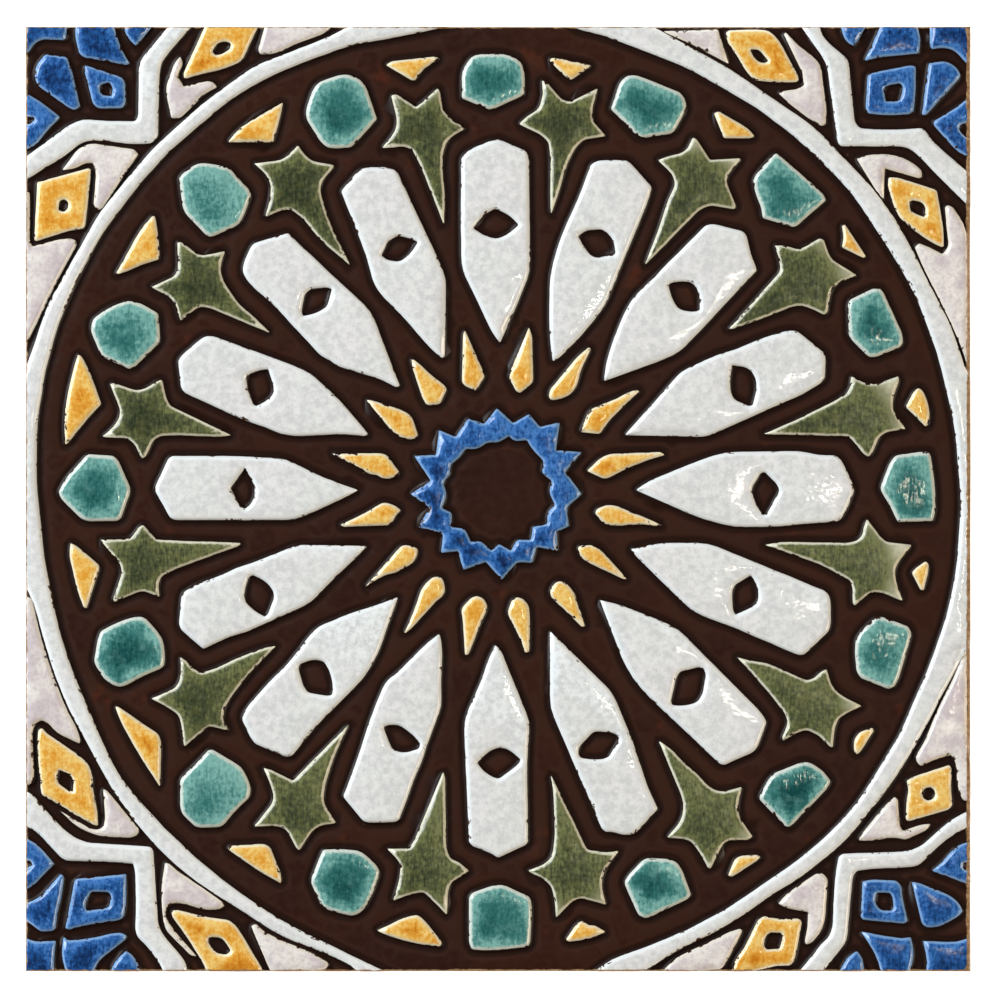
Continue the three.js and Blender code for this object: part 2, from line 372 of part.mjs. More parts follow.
const lowerRightCorner = [
  { edge: [980,834, 980,854, 971,858, 964,863, 963,869, 971,876, 980,880, 980,893, 966,887, 951,879, 932,871,
    943,862, 951,852, 959,845, 971,839] },
  { edge: [912,882, 919,883, 935,889, 951,896, 959,903, 963,911, 959,916, 950,922, 940,927, 927,928, 922,924,
    919,911] },
  {
    edge: [863,882, 871,880, 887,880, 898,881, 902,887, 903,900, 908,921, 905,924, 879,921, 863,920, 861,917,
      863,898],
    hollow: [877,893, 890,893, 893,897, 894,908, 892,911, 881,911, 875,903],
  },
  { edge: [861,932, 871,933, 889,936, 902,939, 911,937, 914,951, 913,964, 905,971, 898,980, 888,980, 882,967,
    876,954, 868,943] },
  { edge: [923,941, 932,942, 942,943, 957,943, 964,938, 980,928, 980,980, 924,980, 925,970, 928,961, 926,951] },
  { edge: [857,951, 862,957, 868,973, 870,980, 833,980, 836,970, 847,958] },
  { edge: [980,799, 966,809, 951,820, 937,832, 922,846, 913,850, 901,852, 871,853, 843,854, 839,857, 837,866,
    835,880, 834,911, 833,927, 829,938, 821,945, 813,955, 804,962, 794,970, 784,980, 806,980, 815,971, 825,962,
    838,950, 847,942, 849,930, 850,911, 851,895, 853,877, 857,871, 871,869, 895,868, 914,867, 921,864, 934,850,
    946,839, 959,830, 980,814] },
  {
    edge: [907,781, 913,777, 927,772, 942,767, 950,765, 952,769, 951,791, 953,805, 949,810, 935,814, 919,819,
      908,822, 906,819, 907,799, 909,790],
    hollow: [929,787, 934,789, 936,794, 934,799, 929,801, 924,799, 922,794, 924,789],
  },
  {
    edge: [759,919, 765,916, 772,917, 776,919, 799,919, 802,922, 800,930, 797,948, 796,958, 791,966, 775,966,
      750,968, 731,970, 735,960, 745,948, 753,932],
    hollow: [769,933, 782,933, 783,938, 780,949, 767,950, 764,946, 765,938],
  },
  { edge: [967,648, 964,652, 958,668, 951,684, 942,702, 934,718, 926,740, 916,756, 917,762, 921,766, 934,760,
    951,755, 955,761, 957,769, 957,780, 960,794, 964,801, 969,801, 969,770, 967,735] },
  { edge: [895,797, 898,799, 899,815, 900,826, 903,831, 908,829, 922,825, 931,824, 927,830, 916,836, 906,840,
    898,838, 889,838, 874,841, 859,841, 860,837, 870,824, 882,809] },
  { edge: [822,873, 828,879, 827,903, 825,922, 820,934, 812,943, 806,945, 805,941, 808,927, 808,912, 805,911,
    788,909, 778,904, 788,893, 802,884, 816,874] },
  { edge: [740,929, 743,931, 738,942, 732,951, 727,962, 722,969, 658,970, 671,961, 687,954, 703,946, 719,937,
    730,932] },
];

const wasm = await Module();
wasm.setup();

function solidFrom(geometry) {
  const bare = geometry.clone();
  bare.deleteAttribute('normal');
  bare.deleteAttribute('uv');
  const merged = BufferGeometryUtils.mergeVertices(bare);
  return new wasm.Manifold(new wasm.Mesh({
    numProp: 3,
    vertProperties: new Float32Array(merged.attributes.position.array),
    triVerts: new Uint32Array(merged.index.array),
  }));
}

function geometryFrom(solid) {
  const mesh = solid.getMesh();
  const geometry = new THREE.BufferGeometry();
  geometry.setAttribute('position', new THREE.Float32BufferAttribute(mesh.vertProperties, mesh.numProp));
  geometry.setIndex(new THREE.Uint32BufferAttribute(mesh.triVerts, 1));
  const faceted = geometry.toNonIndexed();
  faceted.computeVertexNormals();
  return faceted;
}

// Turns a list of drawing steps into points on the tile, in millimetres from its middle, running anticlockwise.
function tilePoints(steps) {
  const points = [];
  for (let i = 0; i < steps.length; i += 2) {
    const across = steps[i] - drawingLeft - drawingSteps / 2;
    const down = steps[i + 1] - drawingTop - drawingSteps / 2;
    points.push(new THREE.Vector2(across * stepSize, -down * stepSize));
  }
  return THREE.ShapeUtils.isClockWise(points) ? points.reverse() : points;
}

// Leaves out, one by one, the point that bends the outline least, until each one left bends it by the fineness.
function neededPoints(points) {
  const needed = [...points];
  const bendAt = (point, i) => {
    const before = needed[(i + needed.length - 1) % needed.length];
    const after = needed[(i + 1) % needed.length];
    const chord = after.clone().sub(before);
    return Math.abs(chord.cross(point.clone().sub(before))) / chord.length();
  };
  let bends = needed.map(bendAt);
  while (Math.min(...bends) < outlineFineness) {
    needed.splice(bends.indexOf(Math.min(...bends)), 1);
    bends = needed.map(bendAt);
  }
  return needed;
}

// A pad's walls spread towards its foot, and it is rooted in the slab; a hollow goes down to the ground.
function padSolid(pad) {
  const shape = new THREE.Shape(neededPoints(tilePoints(pad.edge)));
  if (pad.hollow) {
    shape.holes.push(new THREE.Path(neededPoints(tilePoints(pad.hollow))));
  }
  const geometry = new THREE.ExtrudeGeometry(shape, {
    depth: reliefHeight,
    bevelEnabled: true,
    bevelThickness: reliefHeight,
    bevelSize: wallDraft,
    bevelSegments: 1,
  });
  geometry.translate(0, 0, groundHeight - reliefHeight);
  return solidFrom(geometry);
}

// A square block with a worn edge at both ends.
function blockSolid(height, edge) {
  const half = tileSide / 2 - edge;
  const square = new THREE.Shape([
    new THREE.Vector2(-half, -half),
    new THREE.Vector2(half, -half),
    new THREE.Vector2(half, half),
    new THREE.Vector2(-half, half),
  ]);
  const geometry = new THREE.ExtrudeGeometry(square, {
    depth: height - 2 * edge,
    bevelEnabled: edge > 0,
    bevelThickness: edge,
    bevelSize: edge,
    bevelSegments: 1,
  });
  geometry.translate(0, 0, edge);
  return solidFrom(geometry);
}

function edgesOnly(outlines) {
  return outlines.map((edge) => ({ edge }));
}

const pads = [
  ...petals,
  ...edgesOnly(stars),
  ...edgesOnly(hexagons),
  ...edgesOnly(outerTriangles),
  ...edgesOnly(innerDrops),
  starRing,
  circleBand,
  ...upperLeftCorner,
  ...upperRightCorner,
  ...lowerLeftCorner,
  ...lowerRightCorner,
];

let tileSolid = blockSolid(groundHeight, 0);
for (const pad of pads) {
  tileSolid = tileSolid.add(padSolid(pad));
}
tileSolid = tileSolid.intersect(blockSolid(tileThickness, arris));

const glazedClay = new THREE.MeshStandardMaterial({
  color: new THREE.Color(0.42, 0.37, 0.33),
  roughness: 0.3,
  metalness: 0,
});
glazedClay.name = 'glazed_ceramic';

const tile = new THREE.Mesh(geometryFrom(tileSolid), glazedClay);
tile.name = 'tile';

const model = new THREE.Group();
model.name = 'decorative_tile';
model.add(tile);

export default model;
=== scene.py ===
import math
import random

import bpy
import numpy as np
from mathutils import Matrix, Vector, noise
from mathutils.bvhtree import BVHTree
from mathutils.geometry import delaunay_2d_cdt, tessellate_polygon


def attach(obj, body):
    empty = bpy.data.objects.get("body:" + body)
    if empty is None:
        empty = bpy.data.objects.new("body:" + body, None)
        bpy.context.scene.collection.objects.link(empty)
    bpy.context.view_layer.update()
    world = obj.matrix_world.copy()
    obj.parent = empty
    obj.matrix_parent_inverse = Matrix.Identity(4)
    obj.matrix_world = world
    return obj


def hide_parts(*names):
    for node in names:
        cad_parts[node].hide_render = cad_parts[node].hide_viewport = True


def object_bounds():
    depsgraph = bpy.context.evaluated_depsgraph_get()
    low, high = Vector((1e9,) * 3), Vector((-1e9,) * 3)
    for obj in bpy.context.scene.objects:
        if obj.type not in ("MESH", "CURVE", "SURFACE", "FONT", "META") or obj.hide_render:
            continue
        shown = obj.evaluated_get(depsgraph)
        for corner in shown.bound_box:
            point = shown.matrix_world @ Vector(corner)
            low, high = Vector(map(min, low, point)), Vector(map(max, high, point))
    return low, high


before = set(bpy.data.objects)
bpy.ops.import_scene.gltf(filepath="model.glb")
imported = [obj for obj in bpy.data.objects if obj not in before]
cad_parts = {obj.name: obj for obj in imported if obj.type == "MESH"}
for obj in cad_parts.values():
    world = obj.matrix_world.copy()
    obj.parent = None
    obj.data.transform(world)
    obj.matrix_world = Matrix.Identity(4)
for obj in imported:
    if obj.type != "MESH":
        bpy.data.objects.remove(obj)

# The tile's box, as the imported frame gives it, and lengths in millimetres as the frame's metres.
CAD_LOW, CAD_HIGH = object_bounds()
MM = 0.001
HALF = CAD_HIGH.x
TOP = CAD_HIGH.z

# Every random choice, and every noise that shapes the tile, starts from this number.
SEED = 16

# Photograph: its size, and where the tile's left, right, upper and lower side lie in it, in pixels.
PHOTO_WIDTH, PHOTO_HEIGHT = 997, 1000
TILE_LEFT, TILE_RIGHT, TILE_TOP, TILE_BOTTOM = 25, 971, 26, 972
PIXEL = 2 * HALF / (TILE_RIGHT - TILE_LEFT)

# Section of the relief. A pad's edge is rounded, its glaze falls slowly towards that edge, and its wall
# goes down to a moat. From the moat a shoulder goes up to the ground's plateau. The wall, the moat and the
# shoulder end this far out from the outline.
EDGE_ROUND = 0.72 * MM
PILLOW = 0.28 * MM
PILLOW_REACH = 1.5 * MM
WALL = 0.32 * MM
MOAT_END = 0.95 * MM
SHOULDER_END = 1.75 * MM
MOAT_FLOOR = TOP - 1.36 * MM
PLATEAU = TOP - 1.17 * MM

# The slow swell of pads and ground: its height, how long its wide and narrow waves are, the wide waves'
# share, and how much of it the moats' floor feels.
SWELL = 0.05 * MM
WIDE_SWELL, NARROW_SWELL = 17 * MM, 6 * MM
WIDE_SHARE = 0.65
MOAT_SWELL = 0.3

# How far the highest glaze stays under the top of the tile's box.
HEADROOM = 0.01 * MM

# Corners of the outlines. A slight bend is curved over a long reach and a tip over a short one, though
# never over more than a share of the run beside it. CURVE_TURN is the turn that one step of a curve makes.
TIP_TURN = math.radians(65)
TIP_REACH = 0.42 * MM
BEND_REACH = 3.2 * MM
RUN_SHARE = 0.45
CURVE_TURN = math.radians(28)

# The uneven line of glaze laid by hand: how far it strays, over which length, in wide and in fine waves.
WOBBLE, WOBBLE_LENGTH = 0.07 * MM, 5 * MM
FINE_WOBBLE, FINE_WOBBLE_LENGTH = 0.05 * MM, 1.3 * MM

# Rows of points that follow each outline, by their distance into the pad, which is below nought over the
# ground. A point is left out where another outline is nearer by more than the slack.
ROWS = [0.22 * MM, EDGE_ROUND, 1.25 * MM, -WALL, -MOAT_END, -SHOULDER_END]
ROW_SLACK = 0.2
ROW_SPACING, ROW_SPACING_LIMIT = 0.6, 0.42 * MM

# How far apart the points lie along an outline, and on a grid in the coloured pads and everywhere else.
OUTLINE_STEP = 0.95 * MM
OUTLINE_LEAST = 0.16 * MM
FINE_FILL_STEP = 1.3 * MM
FILL_STEP = 1.9 * MM
FILL_SPACING = 0.62

# The tile's own edge: its worn arris, the rows of points beside it, and the levels of rows on the sides.
ARRIS = 0.4 * MM
BORDER_STEPS = round(2 * HALF / MM)
BORDER_ROWS = (0.13 * MM, ARRIS)
BORDER_SPACING = 0.1 * MM
ROWS_STOP, FILL_STOP = HALF - 0.05 * MM, HALF - 1.0 * MM
SIDE_ROWS = [9.0 * MM, 6.0 * MM, 3.0 * MM, ARRIS]

# Unevenness of the tile's edge in wide and fine waves, how far in it is felt, and that of the sides.
EDGE_WOBBLE, EDGE_WOBBLE_LENGTH = 0.14 * MM, 14 * MM
FINE_EDGE_WOBBLE, FINE_EDGE_WOBBLE_LENGTH = 0.03 * MM, 2 * MM
EDGE_WOBBLE_REACH = 1.0 * MM
SIDE_WOBBLE, SIDE_WOBBLE_LENGTH = 0.05 * MM, 9 * MM

# Levels at which noise is taken for the fine waves and for the tile's edge, so that they aren't alike.
FINE_LEVEL, EDGE_LEVEL = 0.02, 0.03

# Lengths under which two places, or a place and a line, count as one.
SAME_PLACE_DIGITS = 3
STRAIGHT = 0.01 * MM
ON_TOP = 0.01 * MM
ON_OUTLINE = 0.01 * MM
ON_BORDER = 0.001 * MM
MERGED = 0.002 * MM

# How wide the clay is left bare along each of the tile's edges.
BARE_RIGHT, BARE_LEFT, BARE_TOP, BARE_BOTTOM = 0.85 * MM, 0.35 * MM, 0.3 * MM, 0.4 * MM

# The pattern's rings, by how far in millimetres from the tile's middle a pad's own middle lies at the most:
# the cobalt ring, the amber drops, the petals, the stars, and the hexagons with the small amber pads.
RING_END, DROPS_END, PETALS_END, STARS_END, HEXAGONS_END = 15, 42, 80, 86, 99

# The rosette has sixteen sectors. A hexagon lies within this share of a sector from the sector's axis.
SECTOR = math.radians(22.5)
HEXAGON_SHARE = 0.25

# Outside the rosette: the least size of the round band along either axis and of a corner's band along both,
# how near a diagonal the cobalt pads with a hollow lie, and from where on the others lie, in millimetres.
BAND_SIZE, CORNER_BAND_SIZE = 90 * MM, 30 * MM
COBALT_DIAGONAL, COBALT_START = 12, 117

# How thin the glaze lies, from about 0 to 1: on each of the sixteen hexagons, clockwise from the top, on
# the cobalt ring, and at least and at most on other pads.
HEXAGON_THINNESS = [0.45, 0.4, 0.45, 0.35, 0.4, 0.6, -0.1, 0.3,
                    0.5, 0.3, 0.95, 0.2, 0.45, 0.75, 0.95, 0.45]
RING_THINNESS = 0.45
LEAST_THINNESS, MOST_THINNESS = 0.1, 0.6

# The olive's thinness at the tile's middle, how much thinner it gets along X and Y for each millimetre, and
# how much it differs between stars.
OLIVE_THINNESS = 0.62
OLIVE_LEAN = Vector((0.002, -0.004))
OLIVE_SPREAD = 0.12

# How much thinner a glaze gets along X and Y for each millimetre from its pad's middle, and at the most.
LEAN = Vector((0.03, 0.045))
LEAN_LIMIT = 0.4

# The olive is washed out towards a star's tips: how far from its middle that starts, how fast it goes on,
# and how much less it counts towards the tile's middle.
WASH_START = 7 * MM
WASH = 0.24
WASH_LESS = 0.45


# Outlines of the raised pads, taken from the top faces of the tile's solid.

def welded(mesh):
    """Corner positions with those at one place made one, and the faces by the new numbers."""
    numbers, places, renamed = {}, [], []
    for vertex in mesh.vertices:
        key = tuple(round(c / MM, SAME_PLACE_DIGITS) for c in vertex.co)
        if key not in numbers:
            numbers[key] = len(places)
            places.append(vertex.co.copy())
        renamed.append(numbers[key])
    faces = [[renamed[v] for v in polygon.vertices] for polygon in mesh.polygons]
    return places, faces


def top_loops(mesh):
    """Closed loops round the top faces, each with the pad on its left, as lists of 2-D points."""
    places, faces = welded(mesh)
    edges = set()
    for face in faces:
        if all(places[v].z > TOP - ON_TOP for v in face):
            edges.update(zip(face, face[1:] + face[:1]))
    onward = {}
    for a, b in edges:
        if (b, a) not in edges:
            onward.setdefault(a, []).append(b)
    loops = []
    while onward:
        loop, here = [], min(onward)
        while here in onward:
            loop.append(here)
            following = onward[here].pop()
            if not onward[here]:
                del onward[here]
            here = following
        loops.append([places[v].to_2d() for v in loop])
    return [loop for loop in loops if len(loop) > 2]


def area(loop):
    return sum(a.x * b.y - b.x * a.y for a, b in zip(loop, loop[1:] + loop[:1])) / 2


def middle_of(loop):
    return sum(loop, Vector((0, 0))) / len(loop)


def without_straight_points(loop):
    """Leaves out points that lie on the straight line through their neighbours."""
    kept = []
    for i, point in enumerate(loop):
        before, after = loop[i - 1], loop[(i + 1) % len(loop)]
        chord = after - before
        if chord.length == 0 or abs(chord.cross(point - before)) / chord.length > STRAIGHT:
            kept.append(point)
    return kept


def past_border(loop):
    """A pad that the tile's edge cuts off is carried on past that edge."""
    cut = HALF - 1.2 * ARRIS
    carried = HALF + 1.5 * MM
    return [Vector([math.copysign(carried, c) if abs(c) > cut else c for c in point]) for point in loop]


def softened(loop):
    """Straight runs joined by small curves: wide ones at slight bends and tight ones at tips."""
    points = []
    for i, point in enumerate(loop):
        before, after = loop[i - 1], loop[(i + 1) % len(loop)]
        inward, outward = point - before, after - point
        turn = inward.angle(outward)
        share = min(turn / TIP_TURN, 1)
        reach = BEND_REACH + (TIP_REACH - BEND_REACH) * share
        reach = min(reach, RUN_SHARE * inward.length, RUN_SHARE * outward.length)
        start = point - inward.normalized() * reach
        end = point + outward.normalized() * reach
        steps = 1 + math.ceil(turn / CURVE_TURN)
        for step in range(steps + 1):
            t = step / steps
            points.append(start * (1 - t) ** 2 + point * 2 * t * (1 - t) + end * t ** 2)
    return points


def stepped(loop):
    """Adds points on long runs and leaves out those that lie too close together."""
    points = []
    for a, b in zip(loop, loop[1:] + loop[:1]):
        if points and (a - points[-1]).length < OUTLINE_LEAST:
            continue
        points.append(a)
        count = round((b - a).length / OUTLINE_STEP)
        points.extend(a.lerp(b, k / count) for k in range(1, count))
    return points


def wobbled(loop):
    """The uneven line of glaze laid by hand."""
    moved = []
    for point in loop:
        wide = noise.noise_vector(Vector((point.x, point.y, 0)) / WOBBLE_LENGTH)
        fine = noise.noise_vector(Vector((point.x, point.y, FINE_LEVEL)) / FINE_WOBBLE_LENGTH)
        moved.append(point + wide.to_2d() * WOBBLE + fine.to_2d() * FINE_WOBBLE)
    return moved


def laid_by_hand(loop):
    """A pad's outline, as drawn in the solid, turned into the outline of its glaze."""
    return wobbled(stepped(softened(past_border(without_straight_points(loop)))))


# Which glaze each pad carries, and how thin, from where it lies in the pattern.

def clockwise_from_top(place):
    return math.atan2(place.x, place.y) % (2 * math.pi)


def glaze_of(loop, has_hollow):
    middle = middle_of(loop)
    radius = middle.length / MM
    across = [max(p[k] for p in loop) - min(p[k] for p in loop) for k in (0, 1)]
    off_axis = abs((clockwise_from_top(middle) / SECTOR + 0.5) % 1 - 0.5)
    off_diagonal = abs(abs(middle.x) - abs(middle.y)) / MM
    if max(across) > BAND_SIZE:
        return "white"
    if radius < RING_END:
        return "cobalt"
    if radius < DROPS_END and not has_hollow:
        return "amber"
    if radius < PETALS_END and has_hollow:
        return "white"
    if radius < HEXAGONS_END:
        if off_axis < HEXAGON_SHARE:
            return "turquoise"
        return "olive" if radius < STARS_END else "amber"
    if min(across) > CORNER_BAND_SIZE:
        return "white"
    if has_hollow:
        return "cobalt" if off_diagonal < COBALT_DIAGONAL else "amber"
    return "cobalt" if radius > COBALT_START else "lilac"


def thinness_of(loop, glaze, chance):
    middle = middle_of(loop)
    if glaze == "turquoise":
        return HEXAGON_THINNESS[round(clockwise_from_top(middle) / SECTOR) % len(HEXAGON_THINNESS)]
    if glaze == "olive":
        return OLIVE_THINNESS + middle.dot(OLIVE_LEAN) / MM + chance.uniform(-OLIVE_SPREAD, OLIVE_SPREAD)
    if middle.length < RING_END * MM:
        return RING_THINNESS
    return chance.uniform(LEAST_THINNESS, MOST_THINNESS)


class Relief:
    """The outlines of all pads, with the distance and the pad at any point."""

    def __init__(self, loops):
        self.loops = [laid_by_hand(loop) for loop in loops]
        outer = [loop for loop in self.loops if area(loop) > 0]
        hollows = [loop for loop in self.loops if area(loop) <= 0]
        self.pads = [(loop, [h for h in hollows if self.holds(loop, h)]) for loop in outer]
        self.pads.sort(key=lambda pad: area(pad[0]))
        chance = random.Random(SEED)
        self.glazes = [glaze_of(loop, bool(inner)) for loop, inner in self.pads]
        self.thinness = [thinness_of(pad[0], g, chance) for pad, g in zip(self.pads, self.glazes)]
        self.middles = [middle_of(loop) for loop, _ in self.pads]
        self.walls = self.wall_tree()
        self.tops, self.top_owner = self.top_tree()

    @staticmethod
    def holds(loop, hollow):
        """Whether a hollow lies in a pad, by an odd count of crossings with the pad's outline."""
        x, y = hollow[0]
        inside = False
        for a, b in zip(loop, loop[1:] + loop[:1]):
            if (a.y > y) != (b.y > y) and x < a.x + (y - a.y) * (b.x - a.x) / (b.y - a.y):
                inside = not inside
        return inside

    def wall_tree(self):
        """Upright walls along all outlines, for distances."""
        corners, quads = [], []
        for loop in self.loops:
            first = len(corners)
            for point in loop:
                corners.append((point.x, point.y, -MM))
                corners.append((point.x, point.y, MM))
            count = len(loop)
            for i in range(count):
                a, b = first + 2 * i, first + 2 * ((i + 1) % count)
                quads.append((a, b, b + 1, a + 1))
        return BVHTree.FromPolygons(corners, quads)

    def top_tree(self):
        """The pads as flat triangles, and the pad that each triangle belongs to."""
        corners, triangles, owner = [], [], []
        for number, (loop, hollows) in enumerate(self.pads):
            first = len(corners)
            rings = [loop, *hollows]
            for ring in rings:
                corners.extend((p.x, p.y, 0) for p in ring)
            for triangle in tessellate_polygon([[p.to_3d() for p in ring] for ring in rings]):
                triangles.append([first + v for v in triangle])
                owner.append(number)
        return BVHTree.FromPolygons(corners, triangles), owner

    def pad_at(self, x, y):
        """The number of the pad at a point, or -1 over the ground."""
        hit = self.tops.ray_cast(Vector((x, y, MM)), Vector((0, 0, -1)))
        return -1 if hit[2] is None else self.top_owner[hit[2]]

    def thinness_at(self, x, y):
        """The pad's own thinness, with the glaze run thicker towards the lower left of each pad."""
        pad = self.top_owner[self.tops.find_nearest(Vector((x, y, 0)))[2]]
        away = Vector((x, y)) - self.middles[pad]
        thinness = self.thinness[pad] + max(-LEAN_LIMIT, min(LEAN_LIMIT, away.dot(LEAN) / MM))
        if self.glazes[pad] == "olive":
            inwards = max(0, -away.normalized().dot(self.middles[pad].normalized()))
            thinness += WASH * max(0, away.length * (1 - WASH_LESS * inwards) - WASH_START) / MM
        return thinness

    def distance(self, x, y):
        """Distance to the nearest outline: positive on a pad, negative over the ground."""
        away = self.walls.find_nearest(Vector((x, y, 0)))[3]
        return away if self.pad_at(x, y) >= 0 else -away


# The tile's surface, from rows of points along the outlines.

class Spread:
    """Keeps points apart: a new one is taken only if none lies nearer than it asks."""

    def __init__(self, cell):
        self.cell, self.cells, self.points = cell, {}, []

    def add(self, x, y, apart):
        i, j = int(x // self.cell), int(y // self.cell)
        ring = math.ceil(apart / self.cell)
        for di in range(-ring, ring + 1):
            for dj in range(-ring, ring + 1):
                for px, py in self.cells.get((i + di, j + dj), ()):
                    if (px - x) ** 2 + (py - y) ** 2 < apart ** 2:
                        return
        self.place(x, y)

    def place(self, x, y):
        key = (int(x // self.cell), int(y // self.cell))
        self.cells.setdefault(key, []).append((x, y))
        self.points.append((x, y))

    def place_ring(self, ring):
        """Places a closed ring of points and gives the edges between them."""
        first, count = len(self.points), len(ring)
        for x, y in ring:
            self.place(x, y)
        return [(first + i, first + (i + 1) % count) for i in range(count)]


def tile_square():
    """Points round the tile's square, anticlockwise from its lower left corner."""
    corners = [(-HALF, -HALF), (HALF, -HALF), (HALF, HALF), (-HALF, HALF)]
    points = []
    for (ax, ay), (bx, by) in zip(corners, corners[1:] + corners[:1]):
        for k in range(BORDER_STEPS):
            points.append((ax + (bx - ax) * k / BORDER_STEPS, ay + (by - ay) * k / BORDER_STEPS))
    return points


def add_border_rows(spread):
    """Points just inside the tile's square, so that its arris gets its shape."""
    for inset in BORDER_ROWS:
        side = HALF - inset
        for k in range(BORDER_STEPS):
            t = -side + 2 * side * k / BORDER_STEPS
            for x, y in ((t, -side), (side, t), (-t, side), (-side, -t)):
                spread.add(x, y, BORDER_SPACING)


def left_normals(loop):
    normals = []
    for i, point in enumerate(loop):
        along = loop[(i + 1) % len(loop)] - loop[i - 1]
        normals.append(Vector((-along.y, along.x)).normalized())
    return normals


def add_outline_rows(spread, relief):
    """Points beside the outlines, so that rounded edges, walls and moats get their shape."""
    for row in ROWS:
        spacing = min(abs(row) * ROW_SPACING, ROW_SPACING_LIMIT)
        for loop in relief.loops:
            for point, normal in zip(loop, left_normals(loop)):
                x, y = point + normal * row
                if max(abs(x), abs(y)) > ROWS_STOP:
                    continue
                if abs(relief.distance(x, y) - row) < ROW_SLACK * abs(row):
                    spread.add(x, y, spacing)


def staggered_grid(step, half):
    rise = step * math.sqrt(3) / 2
    for j in range(int(2 * half / rise) + 1):
        for i in range(int(2 * half / step) + 1):
            yield -half + (i + 0.5 * (j % 2)) * step, -half + j * rise


def add_fill(spread, relief):

    def is_coloured(pad):
        return pad >= 0 and relief.glazes[pad] != "white"

    for step, is_filled in ((FINE_FILL_STEP, is_coloured), (FILL_STEP, lambda pad: True)):
        for x, y in staggered_grid(step, FILL_STOP):
            if is_filled(relief.pad_at(x, y)):
                spread.add(x, y, FILL_SPACING * step)


def surface_points(relief):
    """All points of the glazed face, and the edges it must have: the outlines and the tile's square."""
    spread = Spread(0.5 * MM)
    edges = []
    for loop in relief.loops:
        edges.extend(spread.place_ring(loop))
    edges.extend(spread.place_ring(tile_square()))
    add_border_rows(spread)
    add_outline_rows(spread, relief)
    add_fill(spread, relief)
    return spread.points, edges


def smoothstep(t):
    t = min(max(t, 0), 1)
    return t * t * (3 - 2 * t)


def arc_drop(inset, radius):
    """How far a rounded edge lies below the flat, at a distance in from its side."""
    share = min(max(1 - inset / radius, 0), 1)
    return radius * (1 - math.sqrt(1 - share * share))


def height(x, y, distance):
    """How high the surface lies at a point, by its distance from the nearest outline."""
    place = Vector((x, y, 0))
    swell = noise.noise(place / WIDE_SWELL) * WIDE_SHARE
    swell += noise.noise(place / NARROW_SWELL) * (1 - WIDE_SHARE)
    if distance >= 0:
        level = TOP - SWELL * (1 + swell) / 2 - HEADROOM
        level -= PILLOW * math.exp(-distance / PILLOW_REACH)
        return level - arc_drop(distance, EDGE_ROUND)
    out = -distance
    rim = TOP - SWELL - PILLOW - EDGE_ROUND
    if out < WALL:
        return rim + (MOAT_FLOOR - rim) * smoothstep(out / WALL)
    shoulder = smoothstep((out - MOAT_END) / (SHOULDER_END - MOAT_END))
    level = MOAT_FLOOR + (PLATEAU - MOAT_FLOOR) * shoulder
    return level + SWELL * swell * (MOAT_SWELL + shoulder)


def border_shift(x, y):
    """The slight unevenness of the tile's edge, inwards only."""
    place = Vector((x, y, EDGE_LEVEL))
    wide = 0.5 + 0.5 * noise.noise(place / EDGE_WOBBLE_LENGTH)
    fine = abs(noise.noise(place / FINE_EDGE_WOBBLE_LENGTH))
    return EDGE_WOBBLE * wide + FINE_EDGE_WOBBLE * fine


def settled(x, y):
    """Moves points near the tile's edge inwards with it."""
    moved = [x, y]
    for k, c in enumerate((x, y)):
        nearness = 1 - (HALF - abs(c)) / EDGE_WOBBLE_REACH
        if nearness > 0:
            moved[k] = c - math.copysign(border_shift(x, y) * nearness, c)
    return moved


def border_order(places):
    """The points on the tile's square, in order round it."""
    on_border = [i for i, p in enumerate(places) if max(abs(p[0]), abs(p[1])) > HALF - ON_BORDER]
    at_end = HALF - 2 * ON_BORDER

    def along(i):
        x, y = places[i]
        if y < -at_end and x < at_end:
            return x + HALF
        if x > at_end and y < at_end:
            return 2 * HALF + y + HALF
        if y > at_end and x > -at_end:
            return 4 * HALF + HALF - x
        return 6 * HALF + HALF - y

    return sorted(on_border, key=along)


def glazed_reach(x, y):
    """How far in from the bare strip along the tile's edges a point lies."""
    sides = ((HALF - x, BARE_RIGHT), (HALF + x, BARE_LEFT), (HALF - y, BARE_TOP), (HALF + y, BARE_BOTTOM))
    return min(away - bare for away, bare in sides)


GLAZES = ["white", "turquoise", "olive", "amber", "cobalt", "lilac"]
GROUND, CLAY = len(GLAZES), len(GLAZES) + 1


def flat_face(relief):
    """The glazed face before it gets its heights: its points, its triangles, and their materials."""
    points, edges = surface_points(relief)
    result = delaunay_2d_cdt([Vector(p) for p in points], edges, [], 0, MERGED, False)
    flat, _, triangles = result[:3]
    limit = HALF + ON_BORDER
    inside = [tuple(t) for t in triangles if all(max(abs(flat[v].x), abs(flat[v].y)) < limit for v in t)]
    used = sorted({v for triangle in inside for v in triangle})
    number = {v: i for i, v in enumerate(used)}
    faces, glaze = [], []
    for triangle in inside:
        a, b, c = (flat[v] for v in triangle)
        if (b - a).cross(c - a) < 0:
            triangle = triangle[::-1]
        faces.append([number[v] for v in triangle])
        middle = (a + b + c) / 3
        pad = relief.pad_at(middle.x, middle.y)
        glaze.append(GLAZES.index(relief.glazes[pad]) if pad >= 0 else GROUND)
    return [tuple(flat[v]) for v in used], faces, glaze


def outline_distances(relief, places, faces, glaze):
    """Each point's distance to the nearest outline, nought on it, and never below that on a pad."""
    distances = [relief.distance(x, y) for x, y in places]
    raised = {v for face, kind in zip(faces, glaze) if kind < GROUND for v in face}
    for i, distance in enumerate(distances):
        if abs(distance) < ON_OUTLINE or (distance < 0 and i in raised):
            distances[i] = 0.0
    return distances


def side_faces(above, below):
    count = len(above)
    return [[above[i], below[i], below[(i + 1) % count], above[(i + 1) % count]] for i in range(count)]


